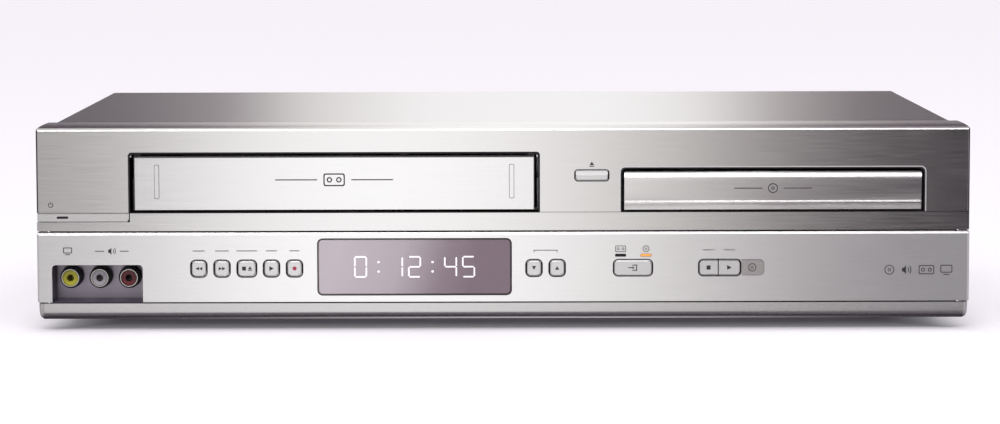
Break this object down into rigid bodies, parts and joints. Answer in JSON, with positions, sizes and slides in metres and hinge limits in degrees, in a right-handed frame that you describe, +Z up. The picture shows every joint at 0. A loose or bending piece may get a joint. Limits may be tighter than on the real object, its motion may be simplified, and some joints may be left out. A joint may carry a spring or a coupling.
{
  "type": "dvd vcr combo player",
  "caption": "Low steel-cased player and recorder with a hinged cassette flap and lift-in basket, a sliding disc tray on rack and pinion, and sprung front keys.",
  "frame": {"origin": "under the middle of the whole object, on the surface that its feet stand on", "axes": "+X to the right seen from the front, the front faces -Y, +Z up"},
  "size_m": [0.435, 0.266, 0.0964],
  "materials": {
    "metallic_front": "brushed metallic coating",
    "chin": "dark metallic coating",
    "flap_skin": "brushed metallic coating",
    "key_cap": "satin metallic coating",
    "smoked_window": "smoked, polished",
    "display_body": "moulded",
    "light_guide": "clear amber",
    "dark_moulding": "moulded",
    "recess_moulding": "moulded",
    "socket_plating": "plated",
    "yellow_insert": "moulded",
    "white_insert": "moulded",
    "red_insert": "moulded",
    "painted_cover": "metallic paint",
    "plated_sheet": "zinc plated",
    "foot_rubber": "moulded",
    "screw_steel": "blackened",
    "circuit_board": "solder mask",
    "machined_aluminium": "turned",
    "roller_rubber": "ground",
    "white_moulding": "moulded",
    "tray_moulding": "moulded",
    "turned_steel": "turned"
  },
  "bodies": {
    "case": {"aerial_tuner": "plated_sheet", "carriage_frame": "plated_sheet", "chassis_pan": "plated_sheet", "chin_rail": "chin", "clamp_bridge": "plated_sheet", "cover_screws": "screw_steel", "deck_chassis": "plated_sheet", "display_module": "display_body", "display_window": "smoked_window", "drive_motors": "turned_steel", "feet": "foot_rubber", "front_board": "circuit_board", "front_carrier": "dark_moulding", "front_jack_sleeves": "socket_plating", "jack_insert_red": "red_insert", "jack_insert_white": "white_insert", "jack_insert_yellow": "yellow_insert", "jack_pocket": "recess_moulding", "loader_frame": "dark_moulding", "lower_drum": "machined_aluminium", "lower_fascia": "metallic_front", "main_board": "circuit_board", "mains_inlet": "dark_moulding", "power_board": "circuit_board", "rear_jack_block": "dark_moulding", "rear_jack_sleeves": "socket_plating", "rear_panel": "plated_sheet", "source_lights": "light_guide", "tape_heads": "turned_steel", "top_cover": "painted_cover", "upper_fascia": "metallic_front"},
    "flap": {"cassette_flap": "flap_skin"},
    "basket_slide": {"basket_slide": "plated_sheet"},
    "basket": {"cassette_basket": "plated_sheet"},
    "head_drum": {"head_drum": "machined_aluminium"},
    "capstan": {"capstan_flywheel": "turned_steel"},
    "supply_reel": {"supply_reel_table": "white_moulding"},
    "takeup_reel": {"takeup_reel_table": "white_moulding"},
    "pinch_arm": {"pinch_roller_arm": "plated_sheet"},
    "pinch_roller": {"pinch_roller": "roller_rubber"},
    "tray": {"disc_tray": "tray_moulding", "tray_front": "flap_skin"},
    "tray_pinion": {"tray_pinion": "white_moulding"},
    "traverse": {"traverse_frame": "plated_sheet"},
    "sled_screw": {"sled_screw": "turned_steel"},
    "turntable": {"turntable": "dark_moulding"},
    "pickup": {"optical_pickup": "dark_moulding"},
    "disc_clamp": {"disc_clamp": "dark_moulding"},
    "disc_play_key": {"disc_play_button": "key_cap"},
    "disc_stop_key": {"disc_stop_button": "key_cap"},
    "fast_forward_key": {"fast_forward_button": "key_cap"},
    "open_close_key": {"open_close_button": "key_cap"},
    "play_key": {"play_button": "key_cap"},
    "record_key": {"record_button": "key_cap"},
    "rewind_key": {"rewind_button": "key_cap"},
    "source_key": {"source_button": "key_cap"},
    "standby_key": {"standby_button": "key_cap"},
    "stop_eject_key": {"stop_eject_button": "key_cap"},
    "tracking_down_key": {"tracking_down_button": "key_cap"},
    "tracking_up_key": {"tracking_up_button": "key_cap"}
  },
  "joints": [
    {"name": "flap_hinge", "type": "hinge", "parent": "case", "child": "flap", "pos_m": [-0.0787, -0.1284, 0.0844], "axis": [1, 0, 0], "range_deg": [0, 89], "stiffness_Nm_per_rad": 0.004},
    {"name": "basket_in", "type": "slide", "parent": "case", "child": "basket_slide", "axis": [0, 1, 0], "range_m": [0, 0.058]},
    {"name": "basket_down", "type": "slide", "parent": "basket_slide", "child": "basket", "axis": [0, 0, -1], "range_m": [0, 0.018]},
    {"name": "drum_spin", "type": "hinge", "parent": "case", "child": "head_drum", "pos_m": [-0.0787, 0.071, 0.0312], "axis": [0, 0.1045, 0.9945], "continuous": true},
    {"name": "capstan_spin", "type": "hinge", "parent": "case", "child": "capstan", "pos_m": [-0.0237, 0.027, 0.0312], "axis": [0, 0, 1], "continuous": true},
    {"name": "supply_reel_spin", "type": "hinge", "parent": "case", "child": "supply_reel", "pos_m": [-0.1248, -0.021, 0.0312], "axis": [0, 0, 1], "continuous": true},
    {"name": "takeup_reel_spin", "type": "hinge", "parent": "case", "child": "takeup_reel", "pos_m": [-0.0326, -0.021, 0.0312], "axis": [0, 0, 1], "continuous": true},
    {"name": "pinch_arm_swing", "type": "hinge", "parent": "case", "child": "pinch_arm", "pos_m": [-0.0167, 0.055, 0.0312], "axis": [0, 0, -1], "range_deg": [0, 90]},
    {"name": "pinch_roller_spin", "type": "hinge", "parent": "pinch_arm", "child": "pinch_roller", "pos_m": [0.0032, 0.048, 0.0312], "axis": [0, 0, 1], "continuous": true},
    {"name": "tray_slide", "type": "slide", "parent": "case", "child": "tray", "axis": [0, -1, 0], "range_m": [0, 0.136]},
    {"name": "tray_pinion_spin", "type": "hinge", "parent": "case", "child": "tray_pinion", "pos_m": [0.07875, -0.112, 0.05], "axis": [0, 0, 1], "continuous": true},
    {"name": "traverse_lift", "type": "hinge", "parent": "case", "child": "traverse", "pos_m": [0.12575, 0.039, 0.057], "axis": [-1, 0, 0], "range_deg": [0, 6]},
    {"name": "turntable_spin", "type": "hinge", "parent": "traverse", "child": "turntable", "pos_m": [0.12575, -0.05647, 0.04697], "axis": [0, -0.1045, 0.9945], "continuous": true},
    {"name": "pickup_slide", "type": "slide", "parent": "traverse", "child": "pickup", "axis": [0, 0.9945, 0.1045], "range_m": [0, 0.034]},
    {"name": "sled_screw_spin", "type": "hinge", "parent": "traverse", "child": "sled_screw", "pos_m": [0.15425, 0.03874, 0.05949], "axis": [0, 0.9945, 0.1045], "continuous": true},
    {"name": "disc_clamp_spin", "type": "hinge", "parent": "case", "child": "disc_clamp", "pos_m": [0.12575, -0.057, 0.076], "axis": [0, 0, 1], "continuous": true},
    {"name": "disc_play_key_press", "type": "slide", "parent": "case", "child": "disc_play_key", "axis": [0, 1, 0], "range_m": [0, 0.0008], "stiffness_N_per_m": 250},
    {"name": "disc_stop_key_press", "type": "slide", "parent": "case", "child": "disc_stop_key", "axis": [0, 1, 0], "range_m": [0, 0.0008], "stiffness_N_per_m": 250},
    {"name": "fast_forward_key_press", "type": "slide", "parent": "case", "child": "fast_forward_key", "axis": [0, 1, 0], "range_m": [0, 0.0008], "stiffness_N_per_m": 250},
    {"name": "open_close_key_press", "type": "slide", "parent": "case", "child": "open_close_key", "axis": [0, 1, 0], "range_m": [0, 0.0008], "stiffness_N_per_m": 250},
    {"name": "play_key_press", "type": "slide", "parent": "case", "child": "play_key", "axis": [0, 1, 0], "range_m": [0, 0.0008], "stiffness_N_per_m": 250},
    {"name": "record_key_press", "type": "slide", "parent": "case", "child": "record_key", "axis": [0, 1, 0], "range_m": [0, 0.0008], "stiffness_N_per_m": 250},
    {"name": "rewind_key_press", "type": "slide", "parent": "case", "child": "rewind_key", "axis": [0, 1, 0], "range_m": [0, 0.0008], "stiffness_N_per_m": 250},
    {"name": "source_key_press", "type": "slide", "parent": "case", "child": "source_key", "axis": [0, 1, 0], "range_m": [0, 0.0008], "stiffness_N_per_m": 250},
    {"name": "standby_key_press", "type": "slide", "parent": "case", "child": "standby_key", "axis": [0, 1, 0], "range_m": [0, 0.0008], "stiffness_N_per_m": 250},
    {"name": "stop_eject_key_press", "type": "slide", "parent": "case", "child": "stop_eject_key", "axis": [0, 1, 0], "range_m": [0, 0.0008], "stiffness_N_per_m": 250},
    {"name": "tracking_down_key_press", "type": "slide", "parent": "case", "child": "tracking_down_key", "axis": [0, 1, 0], "range_m": [0, 0.0008], "stiffness_N_per_m": 250},
    {"name": "tracking_up_key_press", "type": "slide", "parent": "case", "child": "tracking_up_key", "axis": [0, 1, 0], "range_m": [0, 0.0008], "stiffness_N_per_m": 250}
  ],
  "couplings": [
    {"joint": "tray_pinion_spin", "follows": "tray_slide", "rad_per_m": 100},
    {"joint": "sled_screw_spin", "follows": "pickup_slide", "rad_per_m": 2094.4}
  ]
}
